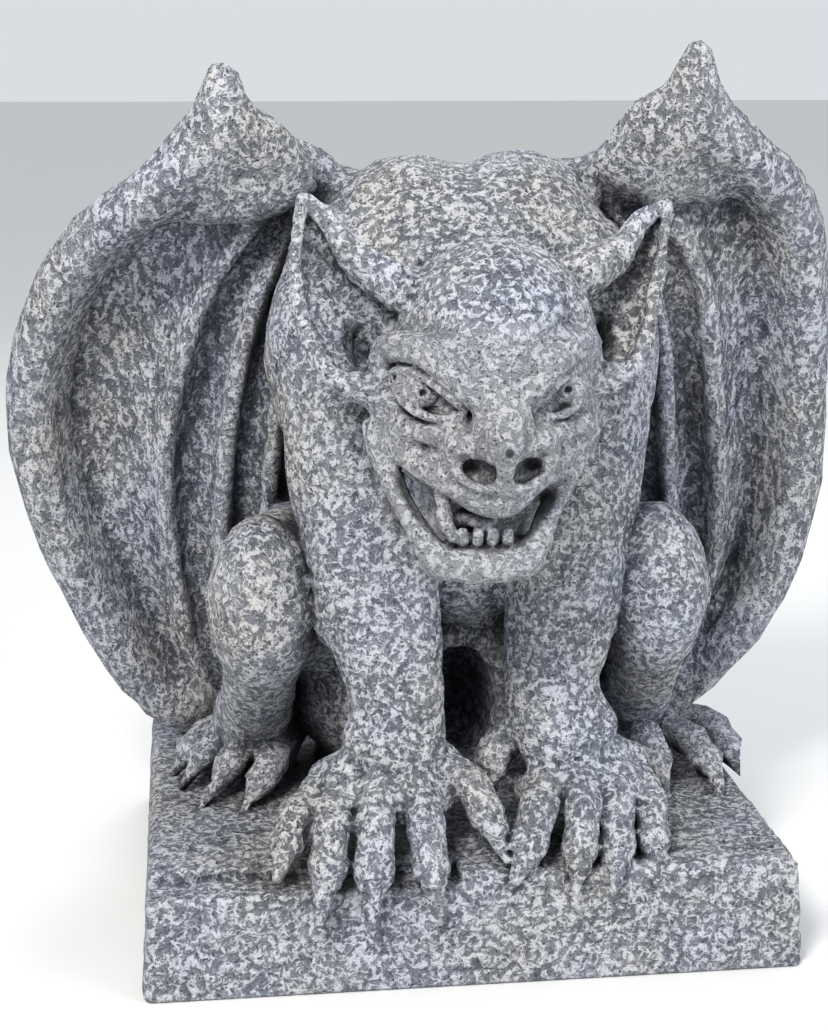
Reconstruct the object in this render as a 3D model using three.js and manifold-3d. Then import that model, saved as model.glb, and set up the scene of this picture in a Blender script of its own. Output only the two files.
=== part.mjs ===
// A crouching winged gargoyle, cast in one with its plinth.
// Millimetres, +Z up. The gargoyle looks along -Y; the origin is the centre of the plinth's underside.
// Every form is a closed skin over rings of points; the forms are then joined into one solid body.
import * as THREE from "three";
import { mergeVertices } from "three/addons/utils/BufferGeometryUtils.js";
import Module from "manifold-3d";

const wasm = await Module();
wasm.setup();

// Driving dimensions.
const plinth = { width: 300, depth: 253, height: 52.4, draft: 3.3, rounding: 5 };
const ledge = { depth: 22, drop: 5, end: -8 };
const middle = 6; // the body sits this far right of the plinth's middle

// Left (-1) and right (+1) differ a little, as in any hand-modelled figure.
const sides = [-1, 1];

// Skins: the shapes every form is made from.

// A closed solid from rings of points; the first and last ring may be a single point.
function skin(rings) {
  const positions = [];
  const faces = [];
  const starts = rings.map((ring) => {
    const start = positions.length / 3;
    ring.forEach((point) => positions.push(point.x, point.y, point.z));
    return start;
  });
  for (let k = 0; k + 1 < rings.length; k++) {
    const count = Math.max(rings[k].length, rings[k + 1].length);
    for (let i = 0; i < count; i++) {
      const next = (i + 1) % count;
      const lower = (n) => starts[k] + (n % rings[k].length);
      const upper = (n) => starts[k + 1] + (n % rings[k + 1].length);
      if (rings[k].length > 1) faces.push(lower(i), lower(next), upper(i));
      if (rings[k + 1].length > 1) faces.push(lower(next), upper(next), upper(i));
    }
  }
  const geometry = new THREE.BufferGeometry();
  geometry.setAttribute("position", new THREE.Float32BufferAttribute(positions, 3));
  geometry.setIndex(faces);
  return solidOf(geometry);
}

// A closed three.js geometry as a solid.
function solidOf(geometry) {
  geometry.deleteAttribute("normal");
  geometry.deleteAttribute("uv");
  const merged = mergeVertices(geometry, 1e-4);
  const mesh = new wasm.Mesh({
    numProp: 3,
    vertProperties: merged.attributes.position.array,
    triVerts: new Uint32Array(merged.index.array),
  });
  const made = new wasm.Manifold(mesh);
  return made.volume() < 0 ? solidOf(flipped(merged)) : made;
}

// The same geometry with its faces turned round.
function flipped(geometry) {
  const faces = Array.from(geometry.index.array);
  for (let i = 0; i < faces.length; i += 3) {
    [faces[i + 1], faces[i + 2]] = [faces[i + 2], faces[i + 1]];
  }
  return geometry.clone().setIndex(faces);
}

function join(solids) {
  return solids.reduce((whole, next) => whole.add(next));
}

const vector = ([x, y, z]) => new THREE.Vector3(x, y, z);

// A limb along a smooth path. Each station is [x, y, z, half width, half depth]: the width lies
// along `across`, the depth square to it. `round` says which ends are rounded off.
function limb(stations, { around = 10, steps = 1, across = [1, 0, 0], round = [1, 1] } = {}) {
  const path = new THREE.CatmullRomCurve3(stations.map(vector));
  const sizes = new THREE.CatmullRomCurve3(
    stations.map(([, , , width, depth = width]) => new THREE.Vector3(width, depth, 0)),
    false,
    "catmullrom",
  );
  const rings = [];
  const count = (stations.length - 1) * steps;
  const ring = (t, lift, shrink) => {
    const centre = path.getPoint(t);
    const along = path.getTangent(t);
    const size = sizes.getPoint(t);
    const side = vector(across).addScaledVector(along, -along.dot(vector(across))).normalize();
    const front = new THREE.Vector3().crossVectors(along, side);
    centre.addScaledVector(along, lift * Math.min(size.x, size.y));
    if (shrink === 0) return [centre];
    return Array.from({ length: around }, (_, i) => {
      const angle = (2 * Math.PI * i) / around;
      return centre
        .clone()
        .addScaledVector(side, shrink * size.x * Math.cos(angle))
        .addScaledVector(front, shrink * size.y * Math.sin(angle));
    });
  };
  rings.push(ring(0, round[0] ? -1 : -0.2, 0));
  if (round[0]) rings.push(ring(0, -0.75, 0.66));
  for (let k = 0; k <= count; k++) rings.push(ring(k / count, 0, 1));
  if (round[1]) rings.push(ring(1, 0.75, 0.66));
  rings.push(ring(1, 1, 0));
  return skin(rings);
}

// An egg: a sphere with three radii, turned by Euler angles in degrees.
function egg([x, y, z], [rx, ry, rz], { turn = [0, 0, 0], detail = 2 } = {}) {
  const geometry = new THREE.IcosahedronGeometry(1, detail);
  const matrix = new THREE.Matrix4().compose(
    new THREE.Vector3(x, y, z),
    new THREE.Quaternion().setFromEuler(
      new THREE.Euler(...turn.map((angle) => THREE.MathUtils.degToRad(angle))),
    ),
    new THREE.Vector3(rx, ry, rz),
  );
  return solidOf(geometry.applyMatrix4(matrix));
}

// Plinth.

// A cast block with slightly drafted sides and rounded edges. The left half of its front
// has a shallow ledge where the top edge has broken back.
function plinthSolid() {
  const outline = (inset) => {
    const halfWidth = plinth.width / 2 - inset;
    const halfDepth = plinth.depth / 2 - inset;
    const corner = plinth.rounding;
    const shape = new THREE.Shape();
    shape.moveTo(-halfWidth + corner, -halfDepth);
    shape.lineTo(halfWidth - corner, -halfDepth);
    shape.absarc(halfWidth - corner, -halfDepth + corner, corner, -Math.PI / 2, 0);
    shape.absarc(halfWidth - corner, halfDepth - corner, corner, 0, Math.PI / 2);
    shape.absarc(-halfWidth + corner, halfDepth - corner, corner, Math.PI / 2, Math.PI);
    shape.absarc(-halfWidth + corner, -halfDepth + corner, corner, Math.PI, 1.5 * Math.PI);
    return shape.getPoints(2);
  };
  const bottomEdge = 2;
  const level = (inset, z) => outline(inset).map((p) => new THREE.Vector3(p.x, p.y, z));
  const { draft, height, rounding } = plinth;
  const sunk = rounding * (1 - Math.SQRT1_2);
  const block = skin([
    [new THREE.Vector3(0, 0, 0)],
    level(bottomEdge, 0),
    level(0, bottomEdge),
    level(draft, height - rounding),
    level(draft + sunk, height - sunk),
    level(draft + rounding, height),
    [new THREE.Vector3(0, 0, height)],
  ]);
  const cutterSize = 40;
  const left = -plinth.width / 2 - cutterSize / 4;
  const cut = new THREE.BoxGeometry(ledge.end - left, cutterSize, cutterSize);
  cut.translate(
    (ledge.end + left) / 2,
    -plinth.depth / 2 + ledge.depth - cutterSize / 2,
    height - ledge.drop + cutterSize / 2,
  );
  return block.subtract(solidOf(cut));
}

// Body.

// Hunched back, chest, haunches and the neck that carries the head forward.
function torso() {
  const nape = [
    [middle, 20, 285, 50, 44],
    [middle, -35, 288, 46, 40],
    [middle, -85, 275, 34, 36],
  ];
  return join([
    egg([middle + 2, -5, 268], [90, 66, 91]),
    egg([middle, 25, 190], [72, 54, 92], { detail: 1 }),
    egg([middle + 2, -36, 218], [46, 34, 74]),
    egg([middle, 32, 105], [86, 72, 72]),
    limb(nape, { round: [0, 0] }),
  ]);
}

// The arms reach straight down in front of the chest to hands at the plinth's front edge.
const arms = {
  "-1": {
    path: [
      [-48, -12, 310, 28, 28],
      [-54, -26, 280, 31, 32],
      [-50, -38, 245, 31, 31],
      [-45, -47, 214, 30, 29],
      [-41, -58, 180, 29.5, 27],
      [-35, -70, 145, 25, 22],
      [-32, -77, 118, 22, 18],
      [-34, -83, 100, 24, 16],
    ],
    palm: [-38, -90, 78],
    // Each digit: knuckle, middle joint, root of the claw, tip of the claw.
    digits: [
      [[-64, -79, 84], [-79, -99, 74], [-86.5, -113, 63], [-90, -121, 53]],
      [[-56, -85, 88], [-65, -109, 73], [-68.5, -127, 54], [-73, -136, 38]],
      [[-41, -87, 89], [-45, -111, 74], [-48, -129, 51], [-51, -138, 36]],
      [[-24, -85, 89], [-23, -110, 74], [-21.5, -128, 52], [-20, -134, 38]],
      [[-13, -80, 91], [0, -95, 84], [8, -111, 69], [13, -120, 56]],
    ],
  },
  1: {
    path: [
      [58, -12, 310, 28, 28],
      [66, -26, 280, 30, 32],
      [62, -38, 245, 30, 31],
      [56, -46, 214, 29, 29],
      [50, -56, 180, 27.5, 26],
      [44, -66, 145, 25, 22],
      [42, -73, 118, 22, 18],
      [48, -79, 100, 24, 16],
    ],
    palm: [55, -86, 77],
    digits: [
      [[38, -79, 90], [30, -104, 76], [21, -120, 58], [13, -128, 47]],
      [[53, -82, 90], [50, -106, 76], [45, -122, 55], [42, -130, 44]],
      [[68, -78, 88], [66.5, -101, 74], [63, -119, 55], [60, -129, 44]],
      [[79, -72, 84], [83.5, -94, 71], [82, -112, 55], [80, -125, 44]],
      [[24, -68, 98], [15, -73, 91], [10, -79, 82], [8, -85, 73]],
    ],
  },
};
const fingerHalf = 8.6;

const legs = {
  "-1": {
    knee: [-91, -46, 159],
    digits: [
      [[-80, 8, 74], [-87, -14, 69], [-95, -28, 61], [-102, -39, 53]],
      [[-88, 18, 75], [-100, -3, 73], [-111, -18, 64], [-123, -31, 54]],
      [[-96, 26, 74], [-112, 11, 71], [-122, -1, 66], [-131, -10, 54]],
      [[-104, 34, 73], [-119, 24, 70], [-128, 13, 65], [-136, 5, 56]],
    ],
  },
  1: {
    knee: [94, -46, 161],
    digits: [
      [[92, 6, 74], [101, -15, 73], [105, -30, 63], [106, -43, 53]],
      [[108, 16, 76], [126, -10, 69], [131, -30, 62], [132, -47, 53]],
      [[120, 28, 75], [143, 8, 69], [147, -8, 61], [149, -20, 53]],
    ],
  },
};
const toeHalf = 8.2;

// A digit swells at its joint, and its claw comes out of a collar of flesh.
function digit([knuckle, joint, root, tip], half) {
  const between = (a, b, t) => a.map((value, i) => value + t * (b[i] - value));
  return limb(
    [
      [...knuckle, half, half * 0.95],
      [...joint, half * 1.05, half],
      [...root, half * 0.86, half * 0.82],
      [...between(root, tip, 0.2), half * 0.6, half * 0.6],
      [...tip, half * 0.16, half * 0.16],
    ],
    { around: 6, round: [0, 0] },
  );
}

function arm(side) {
  const { path, palm, digits } = arms[side];
  return join([
    limb(path, { around: 9, round: [0, 0] }),
    egg(palm, [34, 18, 17], { detail: 1 }),
    ...digits.map((points) => digit(points, fingerHalf)),
  ]);
}

// Folded hind leg: thigh forward to a round knee, shin back under it, foot flat on the plinth.
function leg(side) {
  const { knee, digits } = legs[side];
  const [x, y, z] = knee;
  const thigh = [
    [side * 58 + middle, 50, 130, 44, 46],
    [side * 76 + middle, 5, 152, 34, 44],
    [x, y + 4, z, 22, 36],
  ];
  const shin = [
    [x, y - 4, z - 20, 17, 18],
    [x + side * 2, y + 24, z - 50, 18, 17],
    [x + side * 4, y + 58, z - 76, 20, 18],
  ];
  return join([
    limb(thigh, { around: 8, round: [1, 0] }),
    egg(knee, [26, 31, 41.5], { turn: [0, 0, side * 6] }),
    limb(shin, { around: 7, round: [0, 0] }),
    egg([x + side * 4, 22, 68], [25, 26, 22], { turn: [0, 0, side * 30], detail: 1 }),
    ...digits.map((points) => digit(points, toeHalf)),
  ]);
}

// Wings.

// The top edge climbs from the root on the back to the wrist; the outer edge falls from the
// wrist to the plinth; the inner edge lies against the flank. A horn stands on the wrist.
const wings = {
  "-1": {
    horn: [-104, -24, 401],
    top: [[-38, 32, 334], [-54, 22, 361], [-78, 4, 371], [-107, -16, 381]],
    outer: [[-107, -16, 381], [-136, -14, 358], [-169, 2, 335], [-194, 18, 301], [-210, 34, 250],
      [-207, 44, 195], [-186, 50, 139], [-150, 58, 76], [-124, 62, 58]],
    inner: [[-38, 32, 334], [-60, 20, 270], [-66, 24, 190], [-74, 44, 110], [-84, 66, 58]],
    ribs: [0.47, 0.68, 0.86],
  },
  1: {
    horn: [114, -24, 410],
    top: [[46, 34, 340], [60, 24, 354], [82, 4, 366], [114, -16, 388]],
    outer: [[114, -16, 388], [150, -14, 368], [178, 2, 340], [193, 18, 292], [202, 34, 236],
      [203, 44, 180], [185, 50, 119], [151, 58, 73], [130, 62, 58]],
    inner: [[46, 34, 340], [70, 20, 270], [76, 24, 190], [84, 44, 110], [94, 66, 58]],
    ribs: [0.4, 0.62, 0.82],
  },
};
const wingThickness = 12;
const rimHalf = 12.5;
const sagDepth = 20; // of the widest panel between two ribs
const ribDrift = 0.22; // how far the ribs swing towards the outer edge on their way down

function wing(side) {
  const { horn, outer, top, inner, ribs } = wings[side];
  const hub = new THREE.Vector3(side * 115, 20, 230);
  // The rim's centre line lies its own half width inside the outline.
  const inset = (point) => {
    const made = vector(point);
    return made.addScaledVector(hub.clone().sub(made).setY(0).normalize(), rimHalf);
  };
  const [topEdge, outerEdge] = [top, outer].map((points) => {
    return new THREE.CatmullRomCurve3(points.map(inset));
  });
  const innerEdge = new THREE.CatmullRomCurve3(inner.map(vector));
  const [root, wrist, footOut, footIn] = [
    topEdge.getPoint(0), topEdge.getPoint(1), outerEdge.getPoint(1), innerEdge.getPoint(1),
  ];
  innerEdge.points[0] = root;
  // Coons patch: opposite edges blended, corners taken off once. u runs from the outer edge to
  // the inner one, v from the top edge to the plinth.
  const patch = (u, v) =>
    new THREE.Vector3()
      .addScaledVector(outerEdge.getPointAt(v), 1 - u)
      .addScaledVector(innerEdge.getPointAt(v), u)
      .addScaledVector(topEdge.getPointAt(1 - u), 1 - v)
      .addScaledVector(footOut.clone().lerp(footIn, u), v)
      .addScaledVector(wrist, -(1 - u) * (1 - v))
      .addScaledVector(root, -u * (1 - v))
      .addScaledVector(footOut, -(1 - u) * v)
      .addScaledVector(footIn, -u * v);
  // The ribs fan out from the wrist and split the wing into panels, in which the membrane sags
  // back. Three columns of points to a panel keep each rib a sharp ridge.
  const bound = (k, v) => {
    if (k === 0) return 0;
    if (k > ribs.length) return 1;
    return ribs[k - 1] + ribDrift * (0.45 - v) * (1 - ribs[k - 1]);
  };
  const shares = [0, 0.3, 0.7];
  const panels = ribs.length + 1;
  const rows = 6;
  const rings = [];
  // Each row is a flat loop: out along the front face and home along the back.
  for (let j = 0; j <= rows; j++) {
    const v = j / rows;
    const length = Math.sin(Math.PI * (0.08 + 0.86 * v)) ** 0.5;
    const front = [];
    const back = [];
    for (let k = 0; k < panels; k++) {
      const [from, to] = [bound(k, v), bound(k + 1, v)];
      const sag = sagDepth * Math.sqrt((to - from) / ribs[0]) * length;
      for (const share of shares) {
        const u = from + share * (to - from);
        const dip = sag * Math.sin(Math.PI * share) - 4;
        front.push(patch(u, v).add(new THREE.Vector3(0, dip, 0)));
        if (share < 0.5) {
          back.push(patch(u, v).add(new THREE.Vector3(0, dip * 0.5 + wingThickness, 0)));
        }
      }
    }
    front.push(patch(1, v));
    rings.push([...front, ...back.reverse()]);
  }
  const centre = (ring) => {
    const sum = ring.reduce((total, point) => total.add(point), new THREE.Vector3());
    return [sum.multiplyScalar(1 / ring.length)];
  };
  const sheet = skin([centre(rings[0]), ...rings, centre(rings.at(-1))]);
  // The rim's root lies inside the back.
  const shoulder = new THREE.Vector3(middle + side * 22, 12, 306);
  const rimPoints = [shoulder, ...[...top.slice(0, -1), ...outer].map(inset)];
  const rim = limb(
    rimPoints.map((point) => [...point.toArray(), rimHalf * 1.1, rimHalf]),
    { around: 7, across: [0, 1, 0], round: [0, 0] },
  );
  // The horn is a blunt cone on a base as wide as a tent.
  const [x, y, z] = horn;
  const spike = limb(
    [
      [x - side * 8, -4, z - 58, 34, 12],
      [x - side * 4, -12, z - 36, 27, 14],
      [x - side, -19, z - 23, 16, 13],
      [x, y, z - 7, 8.5, 9],
    ],
    { around: 8, round: [1, 1] },
  );
  return join([sheet, rim, spike]);
}

// Head.

const faceMiddle = 2;
// Stations given by their distance from the face's middle plane, for one side.
const mirrored = (stations, side) =>
  stations.map(([x, ...rest]) => [faceMiddle + side * x, ...rest]);
const faceRoll = { around: 6, across: [0, 0, 1], round: [0, 0] };

const ears = {
  "-1": [[-73, -92, 347], [-77, -98, 320], [-73, -104, 296], [-66, -110, 280], [-56, -114, 270],
    [-38, -112, 262], [-30, -100, 290], [-32, -100, 316], [-52, -94, 330]],
  1: [[84, -90, 343], [80, -97, 318], [74, -103, 298], [71, -108, 283], [60, -113, 273],
    [42, -110, 264], [38, -100, 290], [42, -100, 320], [62, -94, 330]],
};
const earHollow = 10;
const earThickness = 10;

// A bowl-shaped ear: a closed outline, hollow towards the front, with a fleshy flap that runs
// along its top from the tip to the root.
function ear(side) {
  const [tip, top, inner] = [ears[side][0], ears[side].at(-1), ears[side].at(-2)];
  const flap = limb(
    [
      [...tip, 3, 3],
      [top[0], top[1] - 3, top[2] - 7, 8, 6],
      [inner[0], inner[1] - 2, inner[2] - 6, 9, 8],
    ],
    { around: 7, across: [side * 0.6, 0, 1], round: [0, 1] },
  );
  const edge = new THREE.CatmullRomCurve3(ears[side].map(vector), true);
  const centre = new THREE.Vector3(side * 52 + 4, -98, 298);
  const around = 13;
  const loop = (share, lift) =>
    Array.from({ length: around }, (_, i) => {
      const point = centre.clone().lerp(edge.getPointAt(i / around), share);
      point.y += lift + earHollow * Math.sqrt(1 - share ** 2.4);
      return point;
    });
  const pole = (lift) => [centre.clone().setY(centre.y + earHollow + lift)];
  const front = [0.45, 0.9].map((share) => loop(share, -1.5));
  const back = [0.93, 0.5].map((share) => loop(share, earThickness));
  const bowl = skin([pole(-1.5), ...front, loop(1, 1.5), ...back, pole(earThickness)]);
  return bowl.add(flap);
}

// Brow roll, eyeball with its lids, and the pouch under the eye.
function eyeRegion(side) {
  const brow = [
    [46, -110, 272, 6, 6],
    [42, -121, 287, 7, 7],
    [27, -138, 287, 7, 7],
    [15, -147, 278, 6.5, 6.5],
    [5, -151, 269, 6, 6],
  ];
  const lowerLid = [
    [39, -127, 276, 2.6, 3],
    [29, -138, 266, 2.8, 3.4],
    [16, -146, 266, 2.2, 2.6],
  ];
  return join([
    limb(mirrored(brow, side), faceRoll),
    limb(mirrored(lowerLid, side), { ...faceRoll, around: 5 }),
    egg([faceMiddle + side * 30, -131, 272], [10.5, 9.5, 9.5], { detail: 1 }),
    egg([faceMiddle + side * 22, -139, 254], [11, 10, 8], { detail: 1 }),
  ]);
}

function nose() {
  const bridge = [[faceMiddle, -142, 272, 10, 9], [faceMiddle, -152, 262, 12, 10]];
  const hole = [
    [12, -158, 248, 3.2, 3.4],
    [6, -156, 239, 3, 3],
  ];
  const holes = sides.map((side) => limb(mirrored(hole, side), { around: 5, round: [0, 1] }));
  const flares = sides.map((side) =>
    egg([faceMiddle + side * 11, -149, 249], [9, 9, 9], { turn: [0, 0, side * 12], detail: 1 }),
  );
  const tip = egg([faceMiddle, -153, 254], [12, 13, 12], { detail: 1 });
  return join([limb(bridge, { around: 7, round: [0, 0] }), tip, ...flares]).subtract(join(holes));
}

// Snarling mouth: the upper lip drops to a point in the middle, over a slack lower jaw whose
// thick band runs up to both corners; between them the gape with its teeth and tongue.
function mouth() {
  const upperLip = [
    [36, -127, 244, 6, 5],
    [22, -140, 238, 7, 6],
    [10, -147, 232, 7, 6],
    [0, -149, 229, 7, 6],
  ];
  const band = [
    [43, -114, 247, 7, 5],
    [38, -126, 234, 7, 5.5],
    [25, -138, 215, 6.5, 6],
    [17, -142, 203, 7.5, 7],
    [0, -144, 202, 7.5, 7],
  ];
  const tooth = { around: 5, round: [0, 0] };
  const teeth = [-9.5, -2, 5, 12].map((x) =>
    limb([[faceMiddle + x, -140, 207, 3.2, 3], [faceMiddle + x, -142, 218, 2.4, 2.2]], tooth),
  );
  const fang = limb(
    [
      [-18, -136, 234, 4, 3.5],
      [-17, -138, 222, 3.4, 3],
      [-16, -138, 208, 4, 3.5],
    ],
    tooth,
  );
  const whole = (half) => [
    ...mirrored(half, -1),
    ...mirrored(half.slice(0, -1), 1).reverse(),
  ];
  return join([
    limb(whole(upperLip), faceRoll),
    limb(whole(band), faceRoll),
    egg([faceMiddle - 3, -128, 214], [12, 10, 7], { detail: 1 }),
    fang,
    ...teeth,
  ]);
}

function head() {
  const sockets = sides.map((side) =>
    egg([faceMiddle + side * 29, -150, 272], [15, 12, 8], { turn: [0, side * 24, 0], detail: 1 }),
  );
  const skull = join([
    egg([8, -104, 287], [43, 46, 44.5]),
    egg([faceMiddle + 1, -108, 254], [47, 38, 31], { detail: 1 }),
    egg([faceMiddle, -128, 242], [30, 24, 18], { detail: 1 }),
  ]);
  return join([
    skull.subtract(join(sockets)),
    egg([faceMiddle, -98, 222], [34, 38, 28], { detail: 1 }),
    egg([faceMiddle, -118, 206], [20, 20, 11], { detail: 1 }),
    nose(),
    mouth(),
    ...sides.map(eyeRegion),
    ...sides.map(ear),
  ]);
}

// The whole casting.

const body = join([
  plinthSolid(),
  torso(),
  ...sides.map(arm),
  ...sides.map(leg),
  ...sides.map(wing),
  head(),
]);

const { vertProperties, triVerts } = body.getMesh();
const geometry = new THREE.BufferGeometry();
geometry.setAttribute("position", new THREE.BufferAttribute(vertProperties, 3));
geometry.setIndex(new THREE.BufferAttribute(triVerts, 1));
geometry.computeVertexNormals();

const castStone = new THREE.MeshStandardMaterial({
  name: "cast_stone",
  color: 0x8a8c93,
  roughness: 0.92,
  metalness: 0,
  flatShading: true,
});

const gargoyle = new THREE.Mesh(geometry, castStone);
gargoyle.name = "gargoyle";

const group = new THREE.Group();
group.name = "stone_gargoyle";
group.add(gargoyle);

export default group;
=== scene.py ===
import math

import bpy
import numpy as np
import openvdb
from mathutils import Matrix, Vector


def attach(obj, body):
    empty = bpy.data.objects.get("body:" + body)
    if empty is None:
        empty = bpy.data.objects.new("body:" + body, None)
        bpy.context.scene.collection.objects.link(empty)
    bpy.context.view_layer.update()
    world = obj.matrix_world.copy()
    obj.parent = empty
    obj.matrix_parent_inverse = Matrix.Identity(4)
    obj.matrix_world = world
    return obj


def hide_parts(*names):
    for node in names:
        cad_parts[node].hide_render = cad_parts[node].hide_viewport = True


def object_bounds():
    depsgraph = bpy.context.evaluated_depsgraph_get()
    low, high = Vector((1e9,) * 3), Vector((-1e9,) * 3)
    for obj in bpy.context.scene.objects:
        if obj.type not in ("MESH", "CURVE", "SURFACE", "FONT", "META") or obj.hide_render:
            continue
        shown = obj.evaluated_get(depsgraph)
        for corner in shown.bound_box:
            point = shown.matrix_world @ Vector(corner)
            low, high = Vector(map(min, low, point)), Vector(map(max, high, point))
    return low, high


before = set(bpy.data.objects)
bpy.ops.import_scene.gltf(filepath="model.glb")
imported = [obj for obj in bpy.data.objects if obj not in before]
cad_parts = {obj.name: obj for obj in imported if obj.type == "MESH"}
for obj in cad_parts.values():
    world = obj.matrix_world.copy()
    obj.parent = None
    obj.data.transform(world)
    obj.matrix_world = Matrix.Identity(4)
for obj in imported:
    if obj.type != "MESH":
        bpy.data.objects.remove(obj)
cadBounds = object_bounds()
mm = 0.001

# Forms as closed skins.

# The gargoyle is modelled like a clay original: closed forms in millimetres (limbs, eggs and
# sheets) are melted together in one distance field, which then becomes a single skin.


def catmull(points, count):
    # Centripetal Catmull-Rom: each stretch is a cubic whose end slopes come from its neighbours,
    # weighted by the square root of the distances between them.
    points = np.asarray(points, float)
    first, last = 2 * points[0] - points[1], 2 * points[-1] - points[-2]
    ring = np.vstack([first, points, last])
    t = np.linspace(0, len(points) - 1, count)
    k = np.minimum(t.astype(int), len(points) - 2)
    s = (t - k)[:, None]
    p0, p1, p2, p3 = (ring[k + j] for j in range(4))
    gap = lambda a, b: np.maximum(np.sqrt(np.linalg.norm((b - a)[:, :3], axis=1)), 1e-4)[:, None]
    d0, d1, d2 = gap(p0, p1), gap(p1, p2), gap(p2, p3)
    m1 = ((p1 - p0) / d0 - (p2 - p0) / (d0 + d1) + (p2 - p1) / d1) * d1
    m2 = ((p2 - p1) / d1 - (p3 - p1) / (d1 + d2) + (p3 - p2) / d2) * d1
    return (
        (2 * s**3 - 3 * s**2 + 1) * p1
        + (s**3 - 2 * s**2 + s) * m1
        + (-2 * s**3 + 3 * s**2) * p2
        + (s**3 - s**2) * m2
    )


def skin(rings, start, end):
    # Quads between neighbouring rings of points, fans to a pole at each end, all as triangles.
    count, around = rings.shape[:2]
    points = np.vstack([rings.reshape(-1, 3), start, end])
    index = np.arange(count * around).reshape(count, around)
    turned = np.roll(index, -1, axis=1)
    a, b, c, d = index[:-1], turned[:-1], turned[1:], index[1:]
    sides = np.stack([a, b, c, a, c, d], axis=-1).reshape(-1, 3)
    first, last = count * around, count * around + 1
    caps = [
        np.stack([turned[0], index[0], np.full(around, first)], axis=-1),
        np.stack([index[-1], turned[-1], np.full(around, last)], axis=-1),
    ]
    return points, np.vstack([sides, *caps])


def unit(vectors):
    return vectors / np.maximum(np.linalg.norm(vectors, axis=-1, keepdims=True), 1e-9)


def limb(stations, across=(1, 0, 0), around=24):
    # Rings square to a smooth path through stations (x, y, z, half width, half depth), closed
    # by half eggs. Width runs along `across`, depth square to it.
    stations = np.array([[*s, s[3]] if len(s) == 4 else s for s in stations], float)
    length = np.linalg.norm(np.diff(stations[:, :3], axis=0), axis=1).sum()
    count = int(np.clip(length / 1.5, 12, 90))
    path = catmull(stations, count)
    centre, size = path[:, :3], np.maximum(path[:, 3:], 0.15)
    along = unit(np.gradient(centre, axis=0))
    side = unit(np.asarray(across, float) - along * (along @ np.asarray(across, float))[:, None])
    front = np.cross(along, side)
    bend = np.linspace(0, math.pi / 2, 6)[:-1]
    reach = size.min(axis=1)

    def cap(k, sign):
        lift = centre[k] + sign * along[k] * reach[k] * np.sin(bend)[:, None]
        return lift, np.cos(bend)[:, None] * size[k]

    lowLift, lowSize = cap(0, -1)
    highLift, highSize = cap(-1, 1)
    centres = np.vstack([lowLift[:0:-1], centre, highLift[1:]])
    sizes = np.vstack([lowSize[:0:-1], size, highSize[1:]])
    pick = np.clip(np.arange(len(centres)) - (len(bend) - 1), 0, count - 1)
    angle = np.linspace(0, 2 * math.pi, around, endpoint=False)
    rings = (
        centres[:, None]
        + side[pick][:, None] * (sizes[:, :1] * np.cos(angle))[..., None]
        + front[pick][:, None] * (sizes[:, 1:] * np.sin(angle))[..., None]
    )
    return skin(rings, centre[0] - along[0] * reach[0], centre[-1] + along[-1] * reach[-1])


def turnMatrix(turn):
    # Rotation by degrees about X, then Y, then Z.
    x, y, z = np.radians(turn)
    rx = np.array([[1, 0, 0], [0, math.cos(x), -math.sin(x)], [0, math.sin(x), math.cos(x)]])
    ry = np.array([[math.cos(y), 0, math.sin(y)], [0, 1, 0], [-math.sin(y), 0, math.cos(y)]])
    rz = np.array([[math.cos(z), -math.sin(z), 0], [math.sin(z), math.cos(z), 0], [0, 0, 1]])
    return rz @ ry @ rx


def egg(centre, radii, turn=(0, 0, 0)):
    # A sphere of latitude rings with three radii, turned in place.
    tilt = np.linspace(0, math.pi, 26)[1:-1, None]
    angle = np.linspace(0, 2 * math.pi, 40, endpoint=False)[None]
    ball = np.stack(
        [np.sin(tilt) * np.cos(angle), np.sin(tilt) * np.sin(angle), np.cos(tilt) + 0 * angle], -1
    )
    place = lambda p: (p * np.asarray(radii, float)) @ turnMatrix(turn).T + np.asarray(centre, float)
    rings = place(ball)[:, ::-1]
    return skin(rings, place(np.array([0, 0, 1.0])), place(np.array([0, 0, -1.0])))


def mirrored(stations, side, middle=0):
    # Stations given by their distance from a middle plane, for the left (-1) or right (+1).
    return [(middle + side * x, *rest) for x, *rest in stations]


# The distance field.

band = 9.0


def makeField(low, high, voxel):
    # A box of voxels that hold the distance to the surface, negative inside, cut off at `band`.
    origin = np.floor(np.asarray(low, float) / voxel).astype(int)
    shape = np.ceil(np.asarray(high, float) / voxel).astype(int) - origin + 1
    return {"origin": origin, "voxel": voxel, "values": np.full(shape, band, np.float32)}


def meltIn(field, form, blend, cut=False):
    # Smooth union or cut: where two distances differ by less than `blend`, the smaller one is
    # lowered by (blend - difference) squared / (4 blend), which fills the joint with a fillet.
    # The effect fades out where either distance nears `band`, past which it isn't known.
    points, faces = form
    voxel, origin, values = field["voxel"], field["origin"], field["values"]
    low = np.maximum(np.floor((points.min(0) - band) / voxel).astype(int), origin)
    high = np.minimum(
        np.ceil((points.max(0) + band) / voxel).astype(int), origin + values.shape - 1
    )
    if np.any(high <= low):
        return
    level = openvdb.FloatGrid.createLevelSetFromPolygons(
        points.astype(np.float32),
        triangles=faces.astype(np.uint32),
        transform=openvdb.createLinearTransform(voxelSize=voxel),
        halfWidth=band / voxel,
    )
    block = np.empty(high - low + 1, np.float32)
    level.copyToArray(block, ijk=tuple(int(v) for v in low))
    at = tuple(slice(a, b) for a, b in zip(low - origin, high - origin + 1))
    sign = -1 if cut else 1
    old = sign * values[at]
    gap = np.maximum(blend - np.abs(old - block), 0)
    gap *= np.clip((band - np.maximum(old, block)) / (0.3 * band), 0, 1)
    values[at] = sign * (np.minimum(old, block) - gap * gap / (4 * blend))


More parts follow.
